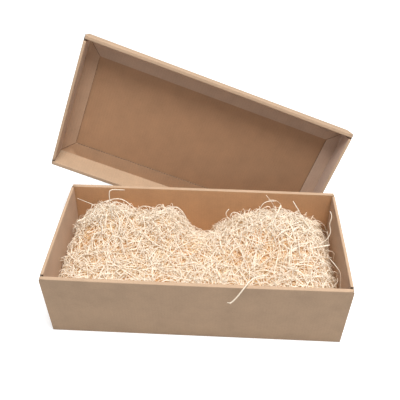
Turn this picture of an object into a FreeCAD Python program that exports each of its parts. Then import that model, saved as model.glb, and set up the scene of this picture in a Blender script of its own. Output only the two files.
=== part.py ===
import FreeCAD, Part
import math
import os
import random

from FreeCAD import Rotation, Vector

# A shipping box for two bottles that lie side by side: a folded base tray,
# a folded lid tray that is lifted off and leans behind it, and wood wool.
# Millimetres and degrees. The origin is the middle of the base's underside,
# with the long walls along X and the opening up.

# Board
BOARD = 1.5            # thickness of the fine-fluted board
CREASE_RADIUS = 1.0    # rounding outside a crushed crease
LAYER_GAP = 0.2        # air between layers that lie together in a long wall
END_SLACK = 0.4        # air between the two layers of an end wall
RIM_NOTCH = 2.2        # open notch at each end of an end wall's folded rim
RIM_SETBACK = 1.0      # how far a long rim stops short of the tray's end
STRIP_WIDTH = 16.5     # width of the strips that fold in onto the floor
STRIP_CORNER = 5.0     # rounding of the strips' free corners
MITRE_GAP = 0.3        # set-back of each strip from the mitre line
FLAP_LENGTH = 62.0     # corner flaps that reach into the long walls

# Base tray, outside. Its width is taken at the floor, below the leaning long walls
BASE_LENGTH = 340.0
BASE_WIDTH = 156.0
BASE_HEIGHT = 95.0
BASE_SPREAD = 3.5      # how far each long wall leans out

# Lid tray, and how it fits over the base and leans behind it
LID_HEIGHT = 32.0
LID_PLAY = 0.6         # room on each side between the base and the lid, at their floors
LID_SPREAD = 10.6      # its long walls lean out more, because nothing holds them in
LID_STAND = 78.6       # turned up from lying open-side-up
LID_ROLL = 19.2        # turned in its own plane, so the right end is the low one
LID_CORNER_X = 130.5   # where its low corner stands
LID_CLEARANCE = 0.4    # room between the low corner and the base's back wall

# Wood wool, packed
WOOL_BELOW_RIM = 36.0  # general level of the wool, below the base's rim
WOOL_CLEARANCE = 0.5   # room between the wool and the walls
WOOL_CORNER = 14.0     # rounding of the packed wool's upright corners
WOOL_DROP = 16.0       # how far the wool falls away along the walls
WOOL_DROP_REACH = 9.0  # how far in from a wall that fall reaches
GRID_STEP = 9.0        # spacing of the points that shape the wool's top
# Each mound: from the base's end, from its centre line, height, half length, half width
LEFT_MOUNDS = ((56.0, 38.0, 28.0, 30.0, 26.0), (126.0, 36.0, 23.0, 17.0, 26.0))
RIGHT_MOUNDS = ((84.0, 36.0, 25.0, 38.0, 28.0), (44.0, -8.0, 13.0, 26.0, 40.0))

# Wood wool, loose strands: flat shavings
STRAND_WIDTH = 1.8
STRAND_THICKNESS = 0.5
STRAND_CLEARANCE = 0.4   # room under a strand that lies on the packed wool
STRAND_STEP = 8.0        # length of one straight facet of a strand
STRAND_SPACING = 2.6     # least room between the middles of two strands
STRAND_COUNT = 80
STRAND_FACETS = (4, 6)   # fewest and most facets in a strand
STRAND_HUMP = (0.5, 8.5) # how far a strand's middle may rise
STRAND_BEND = 26.0       # sharpest turn between two facets
STRAND_INSET = 9.0       # how far the strands keep from the walls
STRAND_BELOW_RIM = 6.0   # and from the level of the rim
STRAND_TRIES = 4000
SEED = 17
# Strands that stand up along the back wall: from the base's end, heading, facets, hump, bend
LEFT_STRAYS = ((70.0, 150.0, 6, 17.0, 16.0), (24.0, 20.0, 5, 8.0, -12.0))
RIGHT_STRAYS = ((80.0, 140.0, 6, 19.0, 12.0), (60.0, -10.0, 6, 16.0, 12.0), (20.0, 115.0, 6, 12.0, 14.0))
STRAY_FROM_BACK = 34.0   # where a stray starts, in from the back wall's inner face
# The strand that hangs over the front rim
RIM_STRAND_FROM_END = 118.0
RIM_STRAND_SPREAD = 12.0 # how far it wanders sideways in each span
RIM_STRAND_DROP = 16.0   # how far its tip hangs below the rim
RIM_STRAND_REACH = 9.0   # how far its tip stands off the front wall

NO_LENGTH = 1e-6         # an edge shorter than this is left out of an outline

LONG_WALL = 3 * BOARD + 2 * LAYER_GAP
END_WALL = 2 * BOARD + END_SLACK
LID_LENGTH = BASE_LENGTH + 2 * (LID_PLAY + END_WALL)
LID_WIDTH = BASE_WIDTH + 2 * (LID_PLAY + LONG_WALL)
FLOOR_TOP = BOARD
STRIP_TOP = 2 * BOARD + LAYER_GAP
BASE_SLOPE = math.tan(math.radians(BASE_SPREAD))
LID_SLOPE = math.tan(math.radians(LID_SPREAD))


def on_plane(axis, along):
    """Turns flat (a, b) coordinates into points of the plane across an axis."""
    places = {
        "x": lambda a, b: Vector(along, a, b),
        "y": lambda a, b: Vector(a, along, b),
        "z": lambda a, b: Vector(a, b, along),
    }
    return places[axis]


def rounded_wire(corners):
    """Closed wire through (point, radius) corners. A radius of 0 stays sharp."""
    edges = []
    joints = []
    for index, (corner, radius) in enumerate(corners):
        before = (corners[index - 1][0] - corner).normalize()
        after = (corners[(index + 1) % len(corners)][0] - corner).normalize()
        if radius == 0:
            joints.append((corner, corner))
            continue
        half = before.getAngle(after) / 2
        entry = corner + before * (radius / math.tan(half))
        leave = corner + after * (radius / math.tan(half))
        inward = (before + after).normalize()
        middle = corner + inward * (radius / math.sin(half) - radius)
        edges.append(Part.Arc(entry, middle, leave).toShape())
        joints.append((entry, leave))
    for index, (_, leave) in enumerate(joints):
        entry = joints[(index + 1) % len(joints)][0]
        edges.append(Part.LineSegment(leave, entry).toShape())
    return Part.Wire(Part.__sortEdges__(edges))


def prism(corners, axis, start, end):
    """Solid with a flat outline of (a, b, radius) corners, between two planes across an axis."""
    place = on_plane(axis, start)
    outline = rounded_wire([(place(a, b), radius) for a, b, radius in corners])
    zero = on_plane(axis, 0.0)(0.0, 0.0)
    return Part.Face(outline).extrude(on_plane(axis, end - start)(0.0, 0.0) - zero)


def tapered(low_corners, high_corners, low, high):
    """Solid between two like outlines, each flat and at its own height."""
    outlines = []
    for corners, height in ((low_corners, low), (high_corners, high)):
        outlines.append(rounded_wire([(Vector(a, b, height), radius) for a, b, radius in corners]))
    return Part.makeLoft(outlines, True, True)


def folded_section(path):
    """Outline of a board that follows a centre line, creased at its corners."""
    left = []
    right = []
    for index, (a, b) in enumerate(path):
        normals = []
        for first, second in ((index - 1, index), (index, index + 1)):
            if 0 <= first and second < len(path):
                da = path[second][0] - path[first][0]
                db = path[second][1] - path[first][1]
                length = math.hypot(da, db)
                normals.append((-db / length, da / length))
        start, end = normals[0], normals[-1]
        share = (BOARD / 2) / (1 + start[0] * end[0] + start[1] * end[1])
        step = ((start[0] + end[0]) * share, (start[1] + end[1]) * share)
        turn = start[0] * end[1] - start[1] * end[0]
        left.append((a + step[0], b + step[1], CREASE_RADIUS if turn < 0 else 0))
        right.append((a - step[0], b - step[1], CREASE_RADIUS if turn > 0 else 0))
    outline = right + left[::-1]
    return [
        corner for index, corner in enumerate(outline)
        if math.dist(corner[:2], outline[index - 1][:2]) > NO_LENGTH]


def mirrored(shape, normal):
    """The shape and its mirror image through the origin."""
    return [shape, shape.mirror(Vector(0, 0, 0), normal)]


def spread(height, slope):
    """How far a leaning wall has moved out at a height above the middle of the floor's board."""
    return slope * (height - BOARD / 2)


def long_wall(length, width, height, slope):
    """Outer layer, rim and inner layer of one leaning long wall, without its floor strip."""
    outer = -width / 2 + BOARD / 2
    inner = -width / 2 + LONG_WALL - BOARD / 2
    strip = STRIP_TOP - BOARD / 2
    rim = height - BOARD / 2
    below_rim = height - BOARD - CREASE_RADIUS
    rim_end = length / 2 - RIM_SETBACK
    outer_below_rim = (outer - spread(below_rim, slope), below_rim)
    inner_below_rim = (inner - spread(below_rim, slope), below_rim)
    wall = prism(
        folded_section([(outer + BOARD / 2, BOARD / 2), (outer, BOARD / 2), outer_below_rim]),
        "x", -length / 2, length / 2)
    top = prism(
        folded_section([
            outer_below_rim, (outer - spread(rim, slope), rim),
            (inner - spread(rim, slope), rim), inner_below_rim]),
        "x", -rim_end, rim_end)
    lining_end = length / 2 - BOARD - LAYER_GAP
    lining = prism(
        folded_section([inner_below_rim, (inner - spread(strip, slope), strip), (inner + BOARD / 2, strip)]),
        "x", -lining_end, lining_end)
    return [wall, top, lining]


def flap_outline(length, flap):
    """Plan of an end panel and the two flaps that are folded back from it."""
    outer = -length / 2 + BOARD / 2
    free_end = -length / 2 + FLAP_LENGTH
    return folded_section([(free_end, flap), (outer, flap), (outer, -flap), (free_end, -flap)])


def end_wall(length, width, height, slope):
    """Outer layer, rim, inner layer and corner flaps of one end wall, without its floor strip."""
    outer = -length / 2 + BOARD / 2
    inner = -length / 2 + END_WALL - BOARD / 2
    strip = STRIP_TOP - BOARD / 2
    flap = width / 2 - BOARD - LAYER_GAP - BOARD / 2
    flap_low = BOARD + LAYER_GAP
    flap_high = height - BOARD - LAYER_GAP
    crease_end = flap + BOARD / 2 - CREASE_RADIUS
    rim_end = width / 2 - LONG_WALL - RIM_NOTCH
    rim_top_end = rim_end + spread(height, slope)
    crease = prism(
        folded_section([(outer + BOARD / 2, BOARD / 2), (outer, BOARD / 2), (outer, flap_high)]),
        "y", -crease_end, crease_end)
    panel_low = flap_outline(length, flap + spread(flap_low, slope))
    panel_high = flap_outline(length, flap + spread(flap_high, slope))
    panel = tapered(panel_low, panel_high, flap_low, flap_high)
    roll = prism(
        folded_section([
            (outer, flap_high - BOARD), (outer, height - BOARD / 2),
            (inner, height - BOARD / 2), (inner, strip), (inner + BOARD / 2, strip)]),
        "y", -rim_top_end, rim_top_end)
    between_long_walls = prism(
        [(-rim_end, 0, 0), (rim_end, 0, 0), (rim_top_end, height, 0), (-rim_top_end, height, 0)],
        "x", -length / 2, -length / 2 + FLAP_LENGTH)
    return [crease, panel, roll.common(between_long_walls)]


def rectangle(x, y):
    """Corners of a rectangle about the middle."""
    return [(-x, -y), (x, -y), (x, y), (-x, y)]


def strip(reach, half_run, axis):
    """One mitred strip on the floor: its fold stands at reach, and it runs half_run each way."""
    fold_end = half_run - MITRE_GAP
    free_end = fold_end - STRIP_WIDTH
    corners = [
        (-fold_end, -reach, 0), (fold_end, -reach, 0),
        (free_end, -reach + STRIP_WIDTH, STRIP_CORNER), (-free_end, -reach + STRIP_WIDTH, STRIP_CORNER)]
    if axis == "y":
        corners = [(b, a, radius) for a, b, radius in corners]
    return prism(corners, "z", STRIP_TOP - BOARD, STRIP_TOP)


def folded_tray(length, width, height, slope):
    """One die-cut sheet folded into a tray whose four walls are rolled over and lined."""
    floor_length = length / 2 - BOARD
    floor_width = width / 2 - BOARD
    floor = prism([(x, y, 0) for x, y in rectangle(floor_length, floor_width)], "z", 0.0, FLOOR_TOP)
    half_length = length / 2 - END_WALL
    half_width = width / 2 - LONG_WALL
    sides = long_wall(length, width, height, slope) + [strip(half_width, half_length, "x")]
    ends = end_wall(length, width, height, slope) + [strip(half_length, half_width, "y")]
    pieces = []
    for piece in sides:
        pieces += mirrored(piece, Vector(0, 1, 0))
    for piece in ends:
        pieces += mirrored(piece, Vector(1, 0, 0))
    return floor.fuse(pieces).removeSplitter().Solids[0]


def lean_lid(tray):
    """Stands the lid on its low corner, close behind the base, opening to the front."""
    turn = Rotation(Vector(1, 0, 0), LID_STAND).multiply(Rotation(Vector(0, 0, 1), -LID_ROLL))
    low_corner = turn.multVec(Vector(LID_LENGTH / 2, -LID_WIDTH / 2, 0))
    lid_rim = LID_WIDTH / 2 + spread(LID_HEIGHT, LID_SLOPE)
    near_corner = turn.multVec(Vector(LID_LENGTH / 2, -lid_rim, LID_HEIGHT))
    lid = tray.copy()
    lid.Placement = FreeCAD.Placement(Vector(0, 0, 0), turn)
    lowest = lid.optimalBoundingBox(False).ZMin
    lid.Placement = FreeCAD.Placement(
        Vector(LID_CORNER_X - low_corner.x, BASE_WIDTH / 2 + LID_CLEARANCE - near_corner.y, -lowest), turn)
    return lid


def bed_half_length():
    return BASE_LENGTH / 2 - END_WALL - WOOL_CLEARANCE


def bed_half_width(height=BASE_HEIGHT - WOOL_BELOW_RIM):
    """Half width of the packed wool at a height. Its sides lean out with the long walls."""
    return BASE_WIDTH / 2 - LONG_WALL - WOOL_CLEARANCE + BASE_SLOPE * (height - STRIP_TOP)


def mounds():
    """Every mound as its centre, height, half length and half width."""
    left = [(-BASE_LENGTH / 2 + mound[0],) + mound[1:] for mound in LEFT_MOUNDS]
    right = [(BASE_LENGTH / 2 - mound[0],) + mound[1:] for mound in RIGHT_MOUNDS]
    return left + right


def bed_top(x, y):
    """Height of the packed wool's surface."""
    height = BASE_HEIGHT - WOOL_BELOW_RIM
    for centre_x, centre_y, rise, half_length, half_width in mounds():
        distance = ((x - centre_x) / half_length) ** 2 + ((y - centre_y) / half_width) ** 2
        height += rise * math.exp(-distance / 2)
    to_end = max(bed_half_length() - abs(x), 0.0)
    to_side = max(bed_half_width() - abs(y), 0.0)
    height -= WOOL_DROP * math.exp(-to_end / WOOL_DROP_REACH)
    height -= WOOL_DROP / 2 * math.exp(-to_side / WOOL_DROP_REACH)
    return height


def evenly(half_span):
    """Evenly spaced stations a little past each side of a span about the middle."""
    edge = half_span + WOOL_CLEARANCE
    count = max(int(round(2 * edge / GRID_STEP)), 4)
    return [-edge + 2 * edge * index / count for index in range(count + 1)]


def wool_bed():
    """Packed wool: it fills the tray down to the floor, between and over the strips."""
    low = bed_half_width(STRIP_TOP)
    high = bed_half_width(BASE_HEIGHT)
    upright = [(x, y, WOOL_CORNER) for x, y in rectangle(bed_half_length(), high)]
    leaning = [(-low, STRIP_TOP, 0), (low, STRIP_TOP, 0), (high, BASE_HEIGHT, 0), (-high, BASE_HEIGHT, 0)]
    block = prism(upright, "z", STRIP_TOP, BASE_HEIGHT)
    block = block.common(prism(leaning, "x", -BASE_LENGTH / 2, BASE_LENGTH / 2))
    sunk_length = BASE_LENGTH / 2 - END_WALL - STRIP_WIDTH - WOOL_CLEARANCE
    sunk_width = BASE_WIDTH / 2 - LONG_WALL - STRIP_WIDTH - WOOL_CLEARANCE
    foot = prism([(x, y, 0) for x, y in rectangle(sunk_length, sunk_width)], "z", FLOOR_TOP, STRIP_TOP)
    across = evenly(high)
    surface = Part.BSplineSurface()
    surface.interpolate([[Vector(x, y, bed_top(x, y)) for y in across] for x in evenly(bed_half_length())])
    above = surface.toShape().extrude(Vector(0, 0, 2 * BASE_HEIGHT))
    return block.fuse(foot).cut(above).removeSplitter().Solids[0]


def resting_height(x, y):
    """Height of the middle of a strand that lies on the packed wool."""
    slope_x = bed_top(x + STRAND_WIDTH, y) - bed_top(x - STRAND_WIDTH, y)
    slope_y = bed_top(x, y + STRAND_WIDTH) - bed_top(x, y - STRAND_WIDTH)
    steepness = math.hypot(slope_x, slope_y) / (2 * STRAND_WIDTH)
    half_height = STRAND_THICKNESS / 2 + steepness * STRAND_WIDTH / 2
    return bed_top(x, y) + STRAND_CLEARANCE + half_height


def lying_path(x, y, heading, facets, hump, bend):
    """Middle line of a strand that lies on the wool at its ends and rises between them."""
    path = []
    facets = round(facets)
    for index in range(facets + 1):
        rise = hump * math.sin(math.pi * index / facets)
        path.append(Vector(x, y, resting_height(x, y) + rise))
        x += STRAND_STEP * math.cos(math.radians(heading))
        y += STRAND_STEP * math.sin(math.radians(heading))
        heading += bend
    return path


def room_for_strands():
    """The space above the packed wool that loose strands may take."""
    half_length = bed_half_length() - STRAND_INSET
    half_width = bed_half_width() - STRAND_INSET
    top = BASE_HEIGHT - STRAND_BELOW_RIM
    return FreeCAD.BoundBox(-half_length, -half_width, 0, half_length, half_width, top)


def along_path(path):
    """Points on a strand's middle line, closer together than its width."""
    points = []
    for first, second in zip(path, path[1:]):
        parts = max(int(first.distanceToPoint(second) / STRAND_WIDTH) + 1, 2)
        points += [first + (second - first) * (part / parts) for part in range(parts)]
    return points + [path[-1]]


def box_round(path):
    """Box that holds a strand with half of the spacing all round."""
    box = FreeCAD.BoundBox()
    for point in path:
        box.add(point)
    box.enlarge(STRAND_SPACING / 2)
    return box


def apart(path, other):
    """Whether two strands keep clear. They are flat, so height counts double."""
    if not box_round(path).intersect(box_round(other)):
        return True
    others = [Vector(point.x, point.y, 2 * point.z) for point in along_path(other)]
    points = [Vector(point.x, point.y, 2 * point.z) for point in along_path(path)]
    return all(point.distanceToPoint(place) > STRAND_SPACING for point in points for place in others)


def ribbon(path):
    """Flat strand along a path: a ruled skin over one small rectangle at each point."""
    frames = []
    for index, point in enumerate(path):
        ahead = path[min(index + 1, len(path) - 1)]
        behind = path[max(index - 1, 0)]
        along = (ahead - behind).normalize()
        side = Vector(0, 0, 1).cross(along).normalize() * (STRAND_WIDTH / 2)
        up = along.cross(side).normalize() * (STRAND_THICKNESS / 2)
        corners = [point - side - up, point + side - up, point + side + up, point - side + up]
        frames.append(Part.makePolygon(corners + corners[:1]))
    return Part.makeLoft(frames, True, True)


def stray_paths():
    """Strands that stand up from the wool along the back wall."""
    start_y = bed_half_width() - STRAY_FROM_BACK
    paths = []
    for from_end, heading, facets, hump, bend in LEFT_STRAYS:
        paths.append(lying_path(-BASE_LENGTH / 2 + from_end, start_y, heading, facets, hump, bend))
    for from_end, heading, facets, hump, bend in RIGHT_STRAYS:
        paths.append(lying_path(BASE_LENGTH / 2 - from_end, start_y, heading, facets, hump, bend))
    return paths


def rim_strand_path():
    """The strand that comes up out of the wool and hangs over the front rim."""
    x = BASE_LENGTH / 2 - RIM_STRAND_FROM_END
    outer_face = -BASE_WIDTH / 2 - spread(BASE_HEIGHT, BASE_SLOPE)
    inner_face = outer_face + LONG_WALL
    over_rim = BASE_HEIGHT + STRAND_CLEARANCE + STRAND_THICKNESS
    start_y = inner_face + 2 * STRAND_INSET
    start_z = resting_height(x, start_y)
    return [
        Vector(x, start_y, start_z),
        Vector(x - RIM_STRAND_SPREAD / 2, inner_face + STRAND_INSET, (over_rim + start_z) / 2),
        Vector(x - RIM_STRAND_SPREAD, inner_face, over_rim),
        Vector(x - 1.3 * RIM_STRAND_SPREAD, outer_face, over_rim),
        Vector(x - 2 * RIM_STRAND_SPREAD, outer_face - RIM_STRAND_REACH / 2, over_rim - RIM_STRAND_DROP / 3),
        Vector(x - 2.4 * RIM_STRAND_SPREAD, outer_face - RIM_STRAND_REACH, over_rim - RIM_STRAND_DROP),
    ]


def wool_strands():
    """Loose strands, laid one by one so that no two touch."""
    draw = random.Random(SEED)
    room = room_for_strands()
    kept = [rim_strand_path()] + stray_paths()
    wanted = len(kept) + STRAND_COUNT
    for _ in range(STRAND_TRIES):
        if len(kept) >= wanted:
            break
        x = draw.uniform(-1, 1) * bed_half_length()
        y = draw.uniform(-1, 1) * bed_half_width()
        path = lying_path(
            x, y, draw.uniform(0, 360), draw.uniform(*STRAND_FACETS),
            draw.uniform(*STRAND_HUMP), draw.uniform(-STRAND_BEND, STRAND_BEND))
        if all(room.isInside(point) for point in path) and all(apart(path, other) for other in kept):
            kept.append(path)
    return Part.makeCompound([ribbon(path) for path in kept])


def main():
    os.makedirs("parts", exist_ok=True)
    shapes = {
        "base_tray": folded_tray(BASE_LENGTH, BASE_WIDTH, BASE_HEIGHT, BASE_SLOPE),
        "lid_tray": lean_lid(folded_tray(LID_LENGTH, LID_WIDTH, LID_HEIGHT, LID_SLOPE)),
        "wood_wool_bed": wool_bed(),
        "wood_wool_strands": wool_strands(),
    }
    for node, shape in shapes.items():
        shape.exportStep("parts/" + node + ".step")
        print(node, len(shape.Solids), "solids, valid", shape.isValid(), "volume", round(shape.Volume))


main()
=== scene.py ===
import math
from collections import namedtuple

import bmesh
import bpy
import numpy as np
from mathutils import Matrix, Vector
from mathutils.bvhtree import BVHTree


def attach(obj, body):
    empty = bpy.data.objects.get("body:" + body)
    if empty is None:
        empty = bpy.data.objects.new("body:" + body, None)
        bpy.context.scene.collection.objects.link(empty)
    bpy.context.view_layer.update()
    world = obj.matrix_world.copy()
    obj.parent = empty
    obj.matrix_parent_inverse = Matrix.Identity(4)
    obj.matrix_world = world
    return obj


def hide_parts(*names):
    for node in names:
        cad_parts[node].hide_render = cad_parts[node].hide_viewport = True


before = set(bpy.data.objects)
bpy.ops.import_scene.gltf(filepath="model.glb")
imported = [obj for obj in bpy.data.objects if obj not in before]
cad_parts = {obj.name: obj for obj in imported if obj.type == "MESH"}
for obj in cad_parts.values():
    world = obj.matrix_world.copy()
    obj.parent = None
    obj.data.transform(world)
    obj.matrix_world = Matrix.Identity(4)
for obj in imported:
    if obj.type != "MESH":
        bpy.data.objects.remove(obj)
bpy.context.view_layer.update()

# A shipping box for two bottles: an open base tray filled with wood wool, and its
# lid tray leaning behind it. Metres, in the part's own frame.
MM = 0.001

# Camera: a square picture, from the front, above and a little to the right
PICTURE = 400
SENSOR = 36.0
LENS = 50.92
CAMERA_PLACE = Vector((0.02305, -0.49086, 0.55235))
CAMERA_AHEAD = Vector((-0.03468, 0.76897, -0.63834))
CAMERA_RIGHT = Vector((0.99875, 0.04959, 0.00548))

# Light
WORLD_LIGHT = 0.38
WORLD_COLOUR = (0.97, 0.99, 1.04, 1)
KEY_PLACE = Vector((0.25, -0.2, 1.5))
KEY_AIM = Vector((0, 0, 0.05))
KEY_SIZE = 0.9
KEY_POWER = 27.0
KEY_COLOUR = (1.0, 0.985, 0.95)
FLOOR_COLOUR = (0.76, 0.76, 0.76, 1)
FLOOR_GLOW = 0.56
FLOOR_EDGE = 4.0
FLOOR_DROP = 0.3 * MM     # the floor lies just below the box, so that they share no face

# How the lid leans
LID_STAND = math.radians(78.6)
LID_ROLL = math.radians(19.2)

# Board
FLUTE_PITCH = 3.45 * MM
BOARD = 1.5 * MM
KRAFT = (0.46, 0.318, 0.212)
KRAFT_INSIDE = (0.41, 0.232, 0.13)  # the sheet's other face, which shows on the trays' floors
STRIP_INSIDE = 0.7        # how much of that colour the floor strips have
# Most inner walls look warmer or paler than the outside because of the light that reaches them,
# and these colours are painted light. How much of each colour an inner wall or a floor strip
# has, by the side of its tray that it is on: (warm, pale)
# Painted light: a warm colour for the light bounced inside the trays, a pale one for the light falling on
# some inner walls
PAINTED_WARM_BOUNCE = (0.535, 0.305, 0.163)
PAINTED_PALE_LIGHT = (0.6, 0.46, 0.38)
NO_TINT = (0, 0)
BASE_WALLS = {"far": (1, 0), "near": (1, 0), "left": (0.1, 0.4), "right": (0.1, 0.4)}
BASE_STRIPS = {}
LID_WALLS = {"far": (0, 1), "left": (0, 0.55), "right": (0, 1)}
LID_STRIPS = {"far": (0, 0.35), "left": (0, 0.15), "right": (0, 0.5)}
FLOOR_TOP = 1.1 * BOARD   # a tray's floor lies below this height,
STRIP_TOP = 2.5 * BOARD   # and its floor strips lie below this one
SHARP = math.radians(60)  # the edges of a cut turn by more, and a rolled rim's facets by less
CUT_STEP = 9 * MM         # how finely the trays are cut, so that their walls can bow
WELD = 0.001 * MM         # points closer than this are one
BASE_BOW = 0.8 * MM
LID_BOW = 0.6 * MM

# The room that the wool has inside the base, whose long walls lean out
INNER_LENGTH = 333.2 * MM
INNER_WIDTH = 146.2 * MM  # at the floor
WALL_SLOPE = math.tan(math.radians(3.5))
WOOL_FOOT = 3.4 * MM
WALL_ROOM = 1.0 * MM
HALF_LENGTH = INNER_LENGTH / 2 - WALL_ROOM
TOP_STEP = 4 * MM         # how finely the height of the wool's top is sampled
CORE_DEPTH = 5 * MM       # how far the tangled core lies below the wool's top
CORE_STEP = 2.5 * MM
CORE_LUMPS = 0.9 * MM     # how far its points spread from that depth
CORE_TONES = (0.0, 0.7)
SEED = 5
# Where the wool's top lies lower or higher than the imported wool's: across, behind the
# middle, rise, half length and half width, in millimetres
SHIFTS = (
    (0, 78, -26, 17, 27), (20, 78, -10, 16, 24), (-112, 52, 5, 24, 20), (-42, 58, 4, 14, 16),
    (95, 60, 3, 30, 16), (-168, 48, -16, 13, 30), (-90, 60, -5, 55, 14), (100, 60, -5, 55, 14),
    (168, 40, -22, 13, 36), (170, -30, -13, 10, 30))

# Shavings
# Painted shade: the deeper a shaving lies in the wool, the darker and warmer its tone
SHADE_DEPTH = 5 * MM       # shavings this far below the wool's top have the deepest tone
TONE_SPREAD = 0.2         # how much of a shaving's tone is its own
THICKNESSES = (0.16, 0.3)  # in millimetres
TILT = 0.6                # how far the ribbons lean to a side, in radians,
TWIST = 0.16              # and how much they twist from point to point
TIP = 0.45                # how wide a shaving's tips are, as a part of its width
STEP_SPREAD = (0.6, 1.3)  # parts of its kind's step that a shaving's own step may be
WANDER = 0.15             # how freely the axis that a shaving curls about changes
PULL_DOWN = 0.3           # what bends a shaving back when it is above its own highest place,
PUSH_UP = 0.2             # and when it is too deep,
PULL_OVER = 2 * MM        # for every such distance
SLOPE_REACH = 4 * MM      # how far ahead the slope of the wool's top is felt

# A kind of shavings. Each starts at a depth from the wool's top (below it is negative), in a
# span of distances behind the box's middle. It heads upward by the rise and bends by the
# turn at each step, both in radians, and may go as far above the wool's top as its reach.
Kind = namedtuple("Kind", "slot count points step depth span rise turn reach widths")
WHOLE = (-80 * MM, 80 * MM)   # spans: all of the box, and the ridge at its back
RIDGE = (38 * MM, 72 * MM)
BODY = Kind(
    slot="wood_wool", count=2400, points=9, step=4.4 * MM, depth=(-5.5 * MM, -0.5 * MM), span=WHOLE,
    rise=(-0.4, 0.4), turn=(0.02, 0.34), reach=2 * MM, widths=(0.45 * MM, 0.9 * MM))
CURLS = Kind(
    slot="wood_wool", count=1700, points=14, step=2.3 * MM, depth=(-3.5 * MM, 0.5 * MM), span=WHOLE,
    rise=(-0.2, 0.7), turn=(0.08, 0.42), reach=7 * MM, widths=(0.4 * MM, 0.75 * MM))
FLUFF = Kind(
    slot="wood_wool", count=600, points=16, step=2.4 * MM, depth=(-4 * MM, 2 * MM), span=RIDGE,
    rise=(0.0, 1.2), turn=(0.1, 0.4), reach=13 * MM, widths=(0.45 * MM, 0.8 * MM))
STRAIGHT = Kind(
    slot="loose_wood_wool", count=1100, points=10, step=4.4 * MM, depth=(-2 * MM, 1.5 * MM), span=WHOLE,
    rise=(-0.1, 0.4), turn=(0.0, 0.12), reach=7 * MM, widths=(0.6 * MM, 1.3 * MM))
# Every layer's own part of the seed and its kind
LAYERS = {
    "wool_body_0": (0, BODY),
    "wool_body_1": (1, BODY),
    "wool_body_2": (2, BODY),
    "wool_curls": (20, CURLS),
    "wool_fluff": (25, FLUFF),
    "wool_straight": (30, STRAIGHT),
}

# Shavings that can be told apart in the picture. Each has its lean, which is how much farther
# back its end lies than its start, and its width, both in millimetres, and its course in
# pixels. An end whose pixel shows wool lies there, and the lean then places the other end.
SEEN_SHAVINGS = {
    "hook": (8, 1.3, ((112, 222), (111, 211), (109.5, 199), (109, 190), (113, 189.5), (125, 190))),
    "left_arch": (-6, 1.2, ((90, 213), (97, 205), (108, 200), (120, 198), (129, 203), (144, 218))),
    "left_wall": (-10, 0.9, ((77, 198), (84, 201), (92, 204), (98, 208))),
    "rim_corner": (10, 1.2, ((52, 279), (58, 266), (65, 257), (75, 250))),
    "left_stub": (-6, 1.0, ((75, 219), (77, 224), (79, 231))),
    "bright_fall": (-18, 2.3, ((110, 222), (112, 233), (117, 245))),
    "bright_cross": (-14, 2.2, ((147, 224), (140, 232), (130, 243))),
    "middle_loop": (-6, 1.2, ((158, 217), (163, 211), (173, 206), (181, 209), (187, 219))),
    "dip_curl": (-6, 1.3, ((229, 209), (225.5, 213), (227, 217), (233, 223))),
    "dip_wisp": (-8, 1.3, ((233, 212), (238, 213), (243, 217), (248, 222))),
    "tall": (-10, 1.5, ((266, 195), (271, 201), (275, 208), (276, 218))),
    "loop_up": (6, 1.3, ((258, 222), (259, 212), (262, 204), (268, 201), (276, 201))),
    "loop_over": (-8, 1.2, ((268, 200), (276, 200), (282, 205), (281, 214))),
    "thick_fall": (-22, 2.6, ((281, 205), (277, 214), (270, 227))),
    "yellow": (-14, 2.7, ((293, 201), (299, 211), (305, 222), (312, 233))),
    "right_arc": (-4, 1.3, ((284, 221), (289, 214), (297, 212), (307, 219), (313, 229))),
    "wall_curl": (-16, 1.2, (
        (330, 211), (332.5, 217), (329, 224), (331, 231), (329, 237), (324, 242), (315, 246))),
    "wall_wisp": (-20, 1.1, ((327, 231), (329, 240), (326, 250), (329, 262))),
    "right_corner": (-16, 1.2, ((330, 259), (336, 266), (341, 273), (340, 289))),
    "right_short": (-14, 1.1, ((340, 278), (336, 284), (331, 289))),
    "front_white": (-16, 2.1, ((330, 245), (318, 247), (304, 250))),
    "middle_bright": (-14, 2.1, ((238, 236), (246, 243), (256, 249))),
    "front_left_bright": (-8, 1.9, ((110, 262), (124, 263), (140, 258))),
}
SEEN_WIDTH = 0.75         # the picture shows them wider than they are, since it is soft
SEEN_THICKNESS = 0.35 * MM
SEEN_TONES = (0.9, 1.2)
SEEN_TILT = 0.3
SEEN_TWIST = 0.1
SEEN_POINTS = 18
WOOL_SPAN = (-72, 70)     # where the wool is searched for behind a pixel, in millimetres
RIM_WIDTH = 1.5 * MM
# The one that hangs over the front rim: (across, behind the middle, up) in millimetres
RIM_SHAVING = (
    (82, -54, 84), (77, -60, 90), (70, -67, 96), (63.5, -73, 99.5), (58, -79, 100), (54.5, -84, 98.5),
    (51, -87, 95), (47.5, -89, 89.5), (43.5, -90, 83), (39.5, -90.5, 77.5), (36.5, -90.5, 75),
    (35, -89.5, 76.5))


def shader_node(tree, kind, **values):
    """Adds a shader node and sets its sockets and properties by name."""
    node = tree.nodes.new(kind)
    for name, value in values.items():
        if name in node.inputs:
            node.inputs[name].default_value = value
        else:
            setattr(node, name, value)
    return node


def new_material(name):
    """A material, its node tree and its shader."""
    material = bpy.data.materials.new(name)
    material.use_nodes = True
    tree = material.node_tree
    return material, tree, tree.nodes["Principled BSDF"]


def attribute(tree, name, output="Fac"):
    """What the mesh stores under a name."""
    return shader_node(tree, "ShaderNodeAttribute", attribute_name=name).outputs[output]


def shade(colour, factor, lift=0.0):
    """The colour made darker or lighter, as a shader colour."""
    return tuple(min(factor * part + lift, 1.0) for part in colour) + (1.0,)


def ramp(tree, source, stops):
    """Colour ramp with (position, colour) stops."""
    node = tree.nodes.new("ShaderNodeValToRGB")
    elements = node.color_ramp.elements
    while len(elements) < len(stops):
        elements.new(0.5)
    for element, (place, colour) in zip(elements, stops):
        element.position = place
        element.color = colour
    tree.links.new(source, node.inputs["Fac"])
    return node.outputs["Color"]


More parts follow.
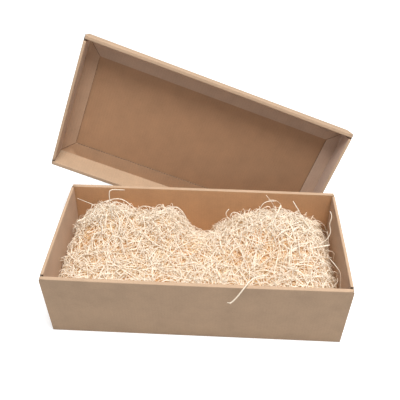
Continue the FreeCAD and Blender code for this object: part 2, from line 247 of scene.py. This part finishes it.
def noise(tree, vector, scale, detail, rough):
    """The value of a noise texture."""
    node = shader_node(tree, "ShaderNodeTexNoise", Scale=scale, Detail=detail, Roughness=rough)
    tree.links.new(vector, node.inputs["Vector"])
    return node.outputs["Fac"]


def stretched(tree, vector, scale):
    """The vector scaled along each axis."""
    node = shader_node(tree, "ShaderNodeMapping", Scale=scale)
    tree.links.new(vector, node.inputs["Vector"])
    return node.outputs["Vector"]


def maths(tree, operation, *values):
    """The result of a sum with numbers or sockets."""
    node = shader_node(tree, "ShaderNodeMath", operation=operation)
    for socket, value in zip(node.inputs, values):
        if isinstance(value, (int, float)):
            socket.default_value = value
        else:
            tree.links.new(value, socket)
    return node.outputs[0]


def mixed(tree, amount, first, second, blend="MIX"):
    """Two colours mixed. Each input is a value or a socket."""
    node = shader_node(tree, "ShaderNodeMix", data_type="RGBA", blend_type=blend)
    for name, value in (("Factor", amount), ("A", first), ("B", second)):
        socket = next(s for s in node.inputs if s.name == name and s.enabled)
        if isinstance(value, (int, float, tuple)):
            socket.default_value = value
        else:
            tree.links.new(value, socket)
    return next(s for s in node.outputs if s.enabled)


def grey(value):
    """A neutral shader colour."""
    return (value, value, value, 1.0)


def finish_surface(tree, shader, base, height, roughness, specular, strength, distance):
    """Gives the shader its colour, its gloss and a bump with this strength and distance."""
    tree.links.new(base, shader.inputs["Base Color"])
    shader.inputs["Roughness"].default_value = roughness
    shader.inputs["Specular IOR Level"].default_value = specular
    bump = shader_node(tree, "ShaderNodeBump", Strength=strength, Distance=distance)
    tree.links.new(height, bump.inputs["Height"])
    tree.links.new(bump.outputs["Normal"], shader.inputs["Normal"])


def liner(tree, place, mottle, fibre):
    """The colour of the board's faces: soft mottling, short fibres, dark specks and the inner walls' painted
    light.
    """
    base = mixed(tree, attribute(tree, "inside"), shade(KRAFT, 1.0), shade(KRAFT_INSIDE, 1.0))
    # Painted light: the inner walls' warm bounce light and their pale light
    base = mixed(tree, attribute(tree, "painted_warm_bounce"), base, shade(PAINTED_WARM_BOUNCE, 1.0))
    base = mixed(tree, attribute(tree, "pale"), base, shade(PAINTED_PALE_LIGHT, 1.0))
    mottles = ramp(tree, mottle, [(0.3, grey(0.93)), (0.5, grey(1.0)), (0.72, (1.07, 1.06, 1.05, 1))])
    base = mixed(tree, 1.0, base, mottles, "MULTIPLY")
    fibres = ramp(tree, fibre, [(0.34, grey(0.93)), (0.5, grey(1.0)), (0.68, grey(1.05))])
    base = mixed(tree, 0.7, base, fibres, "MULTIPLY")
    speck = noise(tree, place, scale=1100.0, detail=2.0, rough=0.5)
    specks = ramp(tree, speck, [(0.27, (0.74, 0.68, 0.62, 1)), (0.35, grey(1.0))])
    return mixed(tree, 0.55, base, specks, "MULTIPLY")


def kraft_board(name, flute_show):
    """Brown board: its liner with faint flutes, cut edges darker as raw board and as painted shade, and rim
    tops lighter as rubbed wear and a painted highlight.
    """
    material, tree, shader = new_material(name)
    place = attribute(tree, "board", "Vector")
    mottle = noise(tree, place, scale=38.0, detail=4.0, rough=0.62)
    fibre = noise(tree, stretched(tree, place, (420, 1300, 1300)), scale=1.0, detail=3.0, rough=0.6)
    base = liner(tree, place, mottle, fibre)
    wave = maths(tree, "SINE", maths(tree, "MULTIPLY", attribute(tree, "flute"), 2 * math.pi))
    crest = maths(tree, "MULTIPLY_ADD", wave, 0.5, 0.5)
    stripes = ramp(tree, crest, [(0.0, grey(0.94)), (1.0, grey(1.03))])
    base = mixed(tree, flute_show, base, stripes, "MULTIPLY")
    # Cut edges: darker raw board, and darker still as painted shade in the gaps along them
    raw_edge_and_shade = ramp(tree, crest, [(0.2, shade(KRAFT, 0.25)), (0.8, shade(KRAFT, 0.5))])
    base = mixed(tree, attribute(tree, "cut"), base, raw_edge_and_shade)
    # Rim tops lighter: rubbed wear and a painted highlight from the light above
    wear_and_highlight = maths(tree, "MULTIPLY", attribute(tree, "wear_and_painted_highlight"), maths(tree, "MULTIPLY_ADD", mottle, 0.8, 0.15))
    base = mixed(tree, wear_and_highlight, base, shade(KRAFT, 1.18, 0.02))
    flutes = maths(tree, "MULTIPLY", wave, 1.2 * flute_show)
    height = maths(tree, "MULTIPLY_ADD", fibre, 0.3, flutes)
    finish_surface(
        tree, shader, base, height, roughness=0.8, specular=0.25, strength=0.25, distance=0.3 * MM)
    return material


def wool_material(name, honey, cream, pale):
    """Split softwood: each shaving has its own tone, darker and warmer as painted shade where it lies deep,
    with grain and darker patches.

    The faint glow stands for the light that thin shavings let through to the ones below.
    """
    material, tree, shader = new_material(name)
    tone = attribute(tree, "tone")
    place = tree.nodes.new("ShaderNodeTexCoord").outputs["Object"]
    patch = noise(tree, place, scale=30.0, detail=3.0, rough=0.55)
    grain = noise(tree, place, scale=800.0, detail=2.0, rough=0.6)
    mix = maths(tree, "ADD", maths(tree, "MULTIPLY", tone, 0.7), maths(tree, "MULTIPLY", patch, 0.3))
    base = ramp(tree, mix, [(0.15, honey), (0.5, cream), (0.84, pale)])
    streak = ramp(tree, grain, [(0.3, (0.96, 0.9, 0.82, 1)), (0.6, grey(1.0))])
    base = mixed(tree, 0.6, base, streak, "MULTIPLY")
    finish_surface(
        tree, shader, base, grain, roughness=0.7, specular=0.15, strength=0.3, distance=0.2 * MM)
    shader.inputs["Emission Color"].default_value = (1, 0.62, 0.28, 1)
    shader.inputs["Emission Strength"].default_value = 0.05
    return material


def own_frame(node, turn):
    """A tray's own axes and half sizes: X along it, Y across it, Z from its floor up."""
    points = [turn.transposed() @ vert.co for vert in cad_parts[node].data.vertices]
    low = Vector([min(point[axis] for point in points) for axis in range(3)])
    high = Vector([max(point[axis] for point in points) for axis in range(3)])
    origin = turn @ Vector(((low.x + high.x) / 2, (low.y + high.y) / 2, low.z))
    return Matrix.Translation(origin) @ turn.to_4x4(), (high - low) / 2


def is_cut(face):
    """Whether a face is a cut edge of the board: one board wide, with sharp edges all round."""
    outline = sum([edge.calc_length() for edge in face.edges])
    sharp = sum([edge.calc_length() for edge in face.edges if edge.calc_face_angle(math.pi) > SHARP])
    width = 2 * face.calc_area() / outline
    return width < 1.1 * BOARD and sharp > 0.9 * outline


def side_of(middle, half):
    """The side of its tray that a face is on."""
    if abs(middle.x) > 0.8 * half.x:
        return "left" if middle.x < 0 else "right"
    return "near" if middle.y < 0 else "far"


def mark_faces(shape, half, walls, strips):
    """Marks the board's cut edges, its rim tops, rubbed and with a painted highlight, the floor's warmer face
    and the inner walls' painted light.
    """
    names = ("cut", "inside", "painted_warm_bounce", "pale", "wear_and_painted_highlight")
    layers = {name: shape.faces.layers.float.new(name) for name in names}
    shape.normal_update()
    for face in shape.faces:
        middle = face.calc_center_median()
        normal = face.normal
        side = side_of(middle, half)
        tint = NO_TINT
        faces_up = normal.z > 0.9
        faces_in = abs(normal.z) < 0.4 and normal.x * middle.x + normal.y * middle.y < 0
        if faces_up and middle.z < FLOOR_TOP:
            face[layers["inside"]] = 1.0
        elif faces_up and middle.z < STRIP_TOP:
            face[layers["inside"]] = STRIP_INSIDE
            tint = strips.get(side, NO_TINT)
        elif faces_in and middle.z > STRIP_TOP:
            tint = walls.get(side, NO_TINT)
        # painted light: how much of the warm bounce colour and the pale light colour the face gets
        face[layers["painted_warm_bounce"]], face[layers["pale"]] = tint
        face[layers["cut"]] = float(is_cut(face))
        # rim tops: rubbed wear and a painted highlight
        face[layers["wear_and_painted_highlight"]] = float(middle.z > 2 * half.z - BOARD and normal.z > 0.6)


def sliced(mesh, inverse, half, walls, strips):
    """A welded copy of a node's mesh in its tray's own axes, cut finely enough to bend."""
    shape = bmesh.new()
    shape.from_mesh(mesh)
    bmesh.ops.transform(shape, matrix=inverse, verts=shape.verts)
    bmesh.ops.remove_doubles(shape, verts=shape.verts, dist=WELD)
    bmesh.ops.dissolve_limit(shape, angle_limit=math.radians(0.5), verts=shape.verts, edges=shape.edges)
    mark_faces(shape, half, walls, strips)
    for axis in range(3):
        normal = Vector([float(index == axis) for index in range(3)])
        start = 0.0 if axis == 2 else -half[axis]
        count = int(2 * half[axis] / CUT_STEP)
        for index in range(1, count):
            place = start + 2 * half[axis] * index / count
            bmesh.ops.bisect_plane(
                shape, geom=shape.verts[:] + shape.edges[:] + shape.faces[:], dist=0.1 * WELD,
                plane_co=normal * place, plane_no=normal)
    bmesh.ops.triangulate(shape, faces=[face for face in shape.faces if len(face.verts) > 4])
    return shape


def fade_in(value, start):
    """0 up to the start, and 1 from a tenth beyond it."""
    return min(max(value - start, 0.0) * 10, 1.0)


def bowed(vert, half, bow):
    """Moves a point of a wall out a little, most at the middle of its rim."""
    x, y, z = vert.co
    up = max(z / (2 * half.z), 0.0)
    on_long_wall = fade_in(abs(y) / half.y, 0.85)
    on_end_wall = fade_in(abs(x) / half.x, 0.9)
    vert.co.y += math.copysign(bow * math.cos(math.pi * x / (2 * half.x)) * up * on_long_wall, y)
    vert.co.x += math.copysign(0.5 * bow * math.cos(math.pi * y / (2 * half.y)) * up * on_end_wall, x)


def place_board(shape):
    """Stores where the board's look is at each point, and how many flutes away from the middle."""
    flute = shape.loops.layers.float.new("flute")
    board = shape.verts.layers.float_vector.new("board")
    for vert in shape.verts:
        vert[board] = vert.co
    for face in shape.faces:
        across_end = abs(face.normal.x) > 0.6
        for loop in face.loops:
            loop[flute] = (loop.vert.co.z if across_end else loop.vert.co.x) / FLUTE_PITCH


def tray(name, node, turn, bow, walls, strips, material):
    """The folded tray again, with walls that bow and what its board's look needs."""
    matrix, half = own_frame(node, turn)
    shape = sliced(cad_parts[node].data, matrix.inverted(), half, walls, strips)
    for vert in shape.verts:
        bowed(vert, half, bow)
    shape.normal_update()
    place_board(shape)
    bmesh.ops.transform(shape, matrix=matrix, verts=shape.verts)
    mesh = bpy.data.meshes.new(name)
    shape.to_mesh(mesh)
    shape.free()
    for polygon in mesh.polygons:
        polygon.use_smooth = True
    mesh.set_sharp_from_angle(angle=math.radians(32))
    piece = add_piece(mesh, name, material)
    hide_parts(node)


def put(name, data):
    """Puts an object in the scene."""
    thing = bpy.data.objects.new(name, data)
    bpy.context.scene.collection.objects.link(thing)
    return thing


def add_piece(mesh, name, material):
    """Puts a piece of the part in the scene."""
    piece = put(name, mesh)
    mesh.materials.append(material)
    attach(piece, "root")
    return piece


def packed_heights(half_x, half_y):
    """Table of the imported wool's heights within these half sizes."""
    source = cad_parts["wood_wool_bed"].data
    tree = BVHTree.FromPolygons([v.co for v in source.vertices], [p.vertices for p in source.polygons])
    xs = np.arange(-half_x, half_x + TOP_STEP, TOP_STEP)
    ys = np.arange(-half_y, half_y + TOP_STEP, TOP_STEP)
    down = Vector((0, 0, -1))
    table = np.zeros((len(xs), len(ys)))
    for i, x in enumerate(xs):
        for j, y in enumerate(ys):
            above = Vector((max(min(x, half_x), -half_x), max(min(y, half_y), -half_y), 1.0))
            hit = tree.ray_cast(above, down)[0]
            table[i, j] = hit.z if hit else WOOL_FOOT
    return table


def wool_tops():
    """Function that gives the height of the wool's top at many places at once."""
    half_x = INNER_LENGTH / 2 - 2 * MM
    half_y = INNER_WIDTH / 2 + 1 * MM
    table = packed_heights(half_x, half_y)

    def look(x, y):
        # The table's cell around each place, and how far across and back in it the place is
        across = np.clip((x + half_x) / TOP_STEP, 0, table.shape[0] - 1.001)
        back = np.clip((y + half_y) / TOP_STEP, 0, table.shape[1] - 1.001)
        i = across.astype(int)
        j = back.astype(int)
        s = across - i
        t = back - j
        height = ((1 - s) * (1 - t) * table[i, j] + s * (1 - t) * table[i + 1, j]
                  + (1 - s) * t * table[i, j + 1] + s * t * table[i + 1, j + 1])
        for centre_x, centre_y, rise, half_length, half_width in SHIFTS:
            distance = ((x / MM - centre_x) / half_length) ** 2 + ((y / MM - centre_y) / half_width) ** 2
            height = height + rise * MM * np.exp(-distance / 2)
        return height
    return look


def half_room(z):
    """Half of the wool's width at a height."""
    return INNER_WIDTH / 2 + WALL_SLOPE * np.maximum(z, 0.0) - WALL_ROOM


def mesh_of(name, verts, quads, tones):
    """Mesh from arrays of corners, of four-cornered faces and of the corners' tones."""
    mesh = bpy.data.meshes.new(name)
    mesh.vertices.add(len(verts))
    mesh.vertices.foreach_set("co", verts.astype(np.float32).ravel())
    mesh.loops.add(quads.size)
    mesh.loops.foreach_set("vertex_index", quads.astype(np.int32).ravel())
    mesh.polygons.add(len(quads))
    mesh.polygons.foreach_set("loop_start", np.arange(0, quads.size, 4, dtype=np.int32))
    mesh.update(calc_edges=True)
    layer = mesh.attributes.new("tone", "FLOAT", "POINT")
    layer.data.foreach_set("value", tones.astype(np.float32))
    return mesh


def block_faces(top, foot):
    """Faces of a closed block. top and foot are the grids of its corners' numbers."""
    faces = [
        np.stack([top[:-1, :-1], top[1:, :-1], top[1:, 1:], top[:-1, 1:]], axis=2).reshape(-1, 4),
        np.stack([foot[:-1, :-1], foot[:-1, 1:], foot[1:, 1:], foot[1:, :-1]], axis=2).reshape(-1, 4)]
    for edge, under in (
            (top[:, 0], foot[:, 0]), (top[-1, :], foot[-1, :]),
            (top[::-1, -1], foot[::-1, -1]), (top[0, ::-1], foot[0, ::-1])):
        faces.append(np.stack([edge[1:], edge[:-1], under[:-1], under[1:]], axis=1))
    return np.concatenate(faces)


def wool_core(look, material):
    """The tangle that shows between the shavings: a closed lumpy block just below the wool's top, darker and
    warmer than the shavings as painted shade.
    """
    draw = np.random.default_rng(SEED)
    across = int(INNER_WIDTH / CORE_STEP)
    along = int(INNER_LENGTH / CORE_STEP)
    u, v = np.meshgrid(np.linspace(-1, 1, along + 1), np.linspace(-1, 1, across + 1), indexing="ij")
    x = u * HALF_LENGTH
    top = look(x, v * half_room(0.0)) - CORE_DEPTH + draw.normal(0, CORE_LUMPS, u.shape)
    foot = np.full_like(top, WOOL_FOOT)
    corners = [np.stack([x, v * half_room(z), z], axis=2).reshape(-1, 3) for z in (top, foot)]
    verts = np.concatenate(corners)
    numbers = np.arange(top.size).reshape(top.shape)
    tones = draw.uniform(*CORE_TONES, len(verts))
    mesh = mesh_of("wool_core", verts, block_faces(numbers, numbers + top.size), tones)
    piece = add_piece(mesh, "wool_core", material)
    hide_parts("wood_wool_bed")


def unit(vectors, least=1e-9):
    """The vectors at length one."""
    return vectors / np.maximum(np.linalg.norm(vectors, axis=-1, keepdims=True), least)


def ribbon_sides(paths, tilts):
    """Directions across each ribbon's face and out of it, at every point of its path."""
    ahead = np.empty_like(paths)
    ahead[:, 1:-1] = paths[:, 2:] - paths[:, :-2]
    ahead[:, 0] = paths[:, 1] - paths[:, 0]
    ahead[:, -1] = paths[:, -1] - paths[:, -2]
    ahead = unit(ahead)
    side = unit(np.cross(np.array([0.0, 0.0, 1.0]), ahead), 1e-6)
    lift = np.cross(ahead, side)
    across = np.cos(tilts)[..., None] * side + np.sin(tilts)[..., None] * lift
    return across, np.cross(ahead, across)


def ribbon_faces(count, points):
    """Faces of closed ribbons that have four corners at each point."""
    ring = np.arange(4)
    station = np.arange(points - 1)[:, None] * 4
    following = (ring + 1) % 4
    quads = np.stack(
        [station + ring, station + following, station + 4 + following, station + 4 + ring], axis=2)
    last = (points - 1) * 4
    ends = [[3, 2, 1, 0], [last, last + 1, last + 2, last + 3]]
    faces = np.concatenate([quads.reshape(-1, 4), ends])
    return (faces[None] + (np.arange(count) * points * 4)[:, None, None]).reshape(-1, 4)


def ribbon_mesh(name, paths, widths, thicknesses, tilts, tones):
    """One closed flat ribbon along each path. paths is (ribbons, points, 3)."""
    count, points, _ = paths.shape
    across, out = ribbon_sides(paths, tilts)
    taper = np.ones(points)
    taper[0] = taper[-1] = TIP
    wide = across * (widths[:, None] * taper / 2)[..., None]
    thick = out * (thicknesses[:, None] * taper / 2)[..., None]
    corners = np.stack(
        [paths - wide - thick, paths + wide - thick, paths + wide + thick, paths - wide + thick], axis=2)
    return mesh_of(name, corners.reshape(-1, 3), ribbon_faces(count, points), np.repeat(tones.ravel(), 4))


def rising(look, x, y, ahead):
    """How steeply the wool's top rises along a direction."""
    there = look(x + SLOPE_REACH * ahead[:, 0], y + SLOPE_REACH * ahead[:, 1])
    return (there - look(x, y)) / SLOPE_REACH


def starts(draw, look, kind, count):
    """Where the shavings begin."""
    x = draw.uniform(-HALF_LENGTH, HALF_LENGTH, count)
    y = draw.uniform(*kind.span, count)
    y = np.clip(y, -half_room(0.0), half_room(0.0))
    z = look(x, y) + draw.uniform(*kind.depth, count)
    return x, y, z


def headings(draw, look, kind, x, y):
    """The directions in which the shavings set out, and the axes that they curl about."""
    count = len(x)
    angle = draw.uniform(0, 2 * math.pi, count)
    slope = draw.uniform(*kind.rise, count)
    ahead = np.stack([np.cos(angle) * np.cos(slope), np.sin(angle) * np.cos(slope), np.sin(slope)], axis=1)
    ahead[:, 2] += rising(look, x, y, ahead)
    axis = np.cross(ahead, draw.normal(0, 1, (count, 3)) + np.array([0, 0, -0.5]))
    return ahead, axis


def curling_paths(draw, look, kind, count):
    """Middle lines that curl through the top of the wool, held in by the walls, and their heights over it."""
    x, y, z = starts(draw, look, kind, count)
    ahead, axis = headings(draw, look, kind, x, y)
    bend = draw.uniform(*kind.turn, count)[:, None]
    steps = draw.uniform(*STEP_SPREAD, count) * kind.step
    highest = kind.reach * draw.uniform(0, 1, count) ** 2
    lowest = kind.depth[0]
    paths = np.empty((count, kind.points, 3))
    above = np.empty((count, kind.points))
    for index in range(kind.points):
        top = look(x, y)
        z = np.maximum(z, np.maximum(top + 1.5 * lowest, WOOL_FOOT))
        above[:, index] = z - top
        paths[:, index] = np.stack([x, y, z], axis=1)
        axis = axis + draw.normal(0, WANDER, (count, 3))
        axis = unit(axis - np.sum(axis * ahead, axis=1, keepdims=True) * ahead)
        ahead = ahead * np.cos(bend) + np.cross(axis, ahead) * np.sin(bend)
        ahead[:, 2] -= PULL_DOWN * np.clip((z - top - highest) / PULL_OVER, 0, 2)
        ahead[:, 2] += PUSH_UP * np.clip((top + lowest - z) / PULL_OVER, 0, 2)
        ahead = unit(ahead)
        x = np.clip(x + steps * ahead[:, 0], -HALF_LENGTH, HALF_LENGTH)
        y = np.clip(y + steps * ahead[:, 1], -half_room(z), half_room(z))
        z = z + steps * ahead[:, 2]
    return paths, above


def wool_layer(name, look, material):
    """Many shavings of one kind, as one mesh. The deeper a shaving lies, the darker and warmer its tone, as
    painted shade.
    """
    own_seed, kind = LAYERS[name]
    draw = np.random.default_rng(SEED + own_seed)
    count = int(kind.count * (1.0))
    paths, above = curling_paths(draw, look, kind, count)
    tilts = draw.normal(0, TILT, count)[:, None]
    tilts = tilts + np.cumsum(draw.normal(0, TWIST, (count, kind.points)), axis=1)
    # painted shade: the deeper a point of a shaving lies, the darker and warmer its tone
    tones = TONE_SPREAD * draw.uniform(0, 1, count)[:, None] + (1 - TONE_SPREAD) * (above / SHADE_DEPTH + 1)
    widths = draw.uniform(*kind.widths, count)
    thicknesses = draw.uniform(*THICKNESSES, count) * MM
    mesh = ribbon_mesh(name, paths, widths, thicknesses, tilts, np.clip(tones, 0, 1))
    add_piece(mesh, name, material)


def through_pixel(pixel, behind):
    """The point at a distance behind the box's middle that the camera shows at a pixel."""
    ahead = CAMERA_AHEAD.normalized()
    right = CAMERA_RIGHT.normalized()
    down = ahead.cross(right)
    focus = LENS / SENSOR * PICTURE
    ray = ahead + right * ((pixel[0] - PICTURE / 2) / focus) + down * ((pixel[1] - PICTURE / 2) / focus)
    return CAMERA_PLACE + ray * ((behind - CAMERA_PLACE.y) / ray.y)


def wool_behind(look, pixel):
    """How far behind the box's middle a pixel shows the wool, or None."""
    for behind in np.arange(WOOL_SPAN[0] * MM, WOOL_SPAN[1] * MM, 1 * MM):
        point = through_pixel(pixel, behind)
        top = look(np.array([point.x]), np.array([point.y]))[0]
        if abs(point.x) < HALF_LENGTH and point.z < top:
            return behind
    return None


def laid_on_wool(look, course, lean, drop=3, most=12):
    """A course's points in space, with an end on the wool.

    A course that misses the wool is first drawn down to it, this many pixels at a time.
    """
    course = list(course)
    start = wool_behind(look, course[0])
    end = wool_behind(look, course[-1])
    for _ in range(most):
        if start is not None or end is not None:
            break
        across, down = course[-1]
        course.append((across, down + drop))
        end = wool_behind(look, course[-1])
    if start is None:
        start = end - lean
    if end is None:
        end = start + lean
    distances = np.linspace(start, end, len(course))
    return [through_pixel(pixel, behind) for pixel, behind in zip(course, distances)]


def smoothed(points, count):
    """Even points on a soft curve near a few chosen ones."""
    line = np.array(points, dtype=float)
    for _ in range(3):
        ahead = 0.75 * line[:-1] + 0.25 * line[1:]
        behind = 0.25 * line[:-1] + 0.75 * line[1:]
        line = np.concatenate([line[:1], np.stack([ahead, behind], axis=1).reshape(-1, 3), line[-1:]])
    along = np.concatenate([[0.0], np.cumsum(np.linalg.norm(np.diff(line, axis=0), axis=1))])
    places = np.linspace(0, along[-1], count)
    return np.stack([np.interp(places, along, line[:, axis]) for axis in range(3)], axis=1)


def seen_shavings(look, material):
    """The shavings that stand out in the picture, as one piece."""
    paths = []
    widths = []
    for lean, width, course in SEEN_SHAVINGS.values():
        paths.append(smoothed(laid_on_wool(look, course, lean * MM), SEEN_POINTS))
        widths.append(SEEN_WIDTH * width * MM)
    paths.append(smoothed(np.array(RIM_SHAVING) * MM, SEEN_POINTS))
    widths.append(RIM_WIDTH)
    paths = np.array(paths)
    half_width = half_room(paths[:-1, :, 2])
    paths[:-1, :, 0] = np.clip(paths[:-1, :, 0], -HALF_LENGTH, HALF_LENGTH)
    paths[:-1, :, 1] = np.clip(paths[:-1, :, 1], -half_width, half_width)
    draw = np.random.default_rng(SEED + 50)
    tilts = draw.uniform(-SEEN_TILT, SEEN_TILT, len(paths))[:, None]
    tilts = tilts + np.cumsum(draw.normal(0, SEEN_TWIST, paths.shape[:2]), axis=1)
    thicknesses = np.full(len(paths), SEEN_THICKNESS)
    tones = np.repeat(draw.uniform(*SEEN_TONES, len(paths)), SEEN_POINTS)
    mesh = ribbon_mesh("seen_shavings", paths, np.array(widths), thicknesses, tilts, tones)
    piece = add_piece(mesh, "seen_shavings", material)
    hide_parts("wood_wool_strands")


def camera_rays(tree):
    """1 for what the camera sees directly, in a reflection or through glass, else 0."""
    path = tree.nodes.new("ShaderNodeLightPath")
    seen = maths(tree, "MAXIMUM", path.outputs["Is Camera Ray"], path.outputs["Is Glossy Ray"])
    return maths(tree, "MAXIMUM", seen, path.outputs["Is Transmission Ray"])


def light():
    """Soft plain light: an even world, white where it is seen, and one broad lamp overhead."""
    world = bpy.data.worlds.new("studio")
    bpy.context.scene.world = world
    world.use_nodes = True
    tree = world.node_tree
    background = tree.nodes["Background"]
    seen = camera_rays(tree)
    tree.links.new(mixed(tree, seen, WORLD_COLOUR, grey(1.0)), background.inputs["Color"])
    strength = maths(tree, "MULTIPLY_ADD", seen, 1.0 - WORLD_LIGHT, WORLD_LIGHT)
    tree.links.new(strength, background.inputs["Strength"])
    data = bpy.data.lights.new("key", "AREA")
    data.shape = "DISK"
    data.size = KEY_SIZE
    data.energy = KEY_POWER
    data.color = KEY_COLOUR
    lamp = put("key", data)
    lamp.location = KEY_PLACE
    lamp.rotation_euler = (KEY_AIM - KEY_PLACE).to_track_quat("-Z", "Y").to_euler()


def floor():
    """Plain pale floor that shows white to the camera and keeps the box's shadow."""
    mesh = bpy.data.meshes.new("floor")
    corners = [(x * FLOOR_EDGE, y * FLOOR_EDGE, 0) for x, y in ((-1, -1), (1, -1), (1, 1), (-1, 1))]
    mesh.from_pydata(corners, [], [(0, 1, 2, 3)])
    piece = put("floor", mesh)
    piece.location.z = -FLOOR_DROP
    material, tree, shader = new_material("pale_floor")
    shader.inputs["Base Color"].default_value = FLOOR_COLOUR
    shader.inputs["Roughness"].default_value = 0.9
    shader.inputs["Specular IOR Level"].default_value = 0.1
    shader.inputs["Emission Color"].default_value = grey(1.0)
    glow = maths(tree, "MULTIPLY", camera_rays(tree), FLOOR_GLOW)
    tree.links.new(glow, shader.inputs["Emission Strength"])
    mesh.materials.append(material)


def camera():
    """The camera that took the picture."""
    data = bpy.data.cameras.new("camera")
    data.sensor_width = SENSOR
    data.lens = LENS
    data.clip_start = 10 * MM
    piece = put("camera", data)
    back = -CAMERA_AHEAD.normalized()
    up = back.cross(CAMERA_RIGHT).normalized()
    right = up.cross(back)
    piece.matrix_world = Matrix.Translation(CAMERA_PLACE) @ Matrix((right, up, back)).transposed().to_4x4()
    bpy.context.scene.camera = piece


def trays():
    """The base as it stands on the floor, and the lid as it leans behind it."""
    tray(
        "base_box", "base_tray", Matrix.Identity(3), BASE_BOW,
        BASE_WALLS, BASE_STRIPS, kraft_board("kraft_base", flute_show=0.12))
    lean = Matrix.Rotation(LID_STAND, 3, "X") @ Matrix.Rotation(-LID_ROLL, 3, "Z")
    tray(
        "lid_box", "lid_tray", lean, LID_BOW,
        LID_WALLS, LID_STRIPS, kraft_board("kraft_lid", flute_show=0.3))


def wool():
    """The wood wool: its core, its layers of shavings and the shavings that stand out."""
    # the core's colours are darker and warmer than the shavings': painted shade
    painted_shade_wool = wool_material("wool_painted_shade", (0.78, 0.43, 0.19, 1), (0.8, 0.48, 0.23, 1), (0.82, 0.55, 0.29, 1))
    loose = wool_material("loose_wool", (0.87, 0.56, 0.28, 1), (0.9, 0.7, 0.44, 1), (0.92, 0.84, 0.73, 1))
    look = wool_tops()
    wool_core(look, painted_shade_wool)
    for name in LAYERS:
        wool_layer(name, look, loose)
    seen_shavings(look, loose)


camera()
light()
floor()
bpy.context.scene.view_settings.view_transform = "Standard"
trays()
wool()
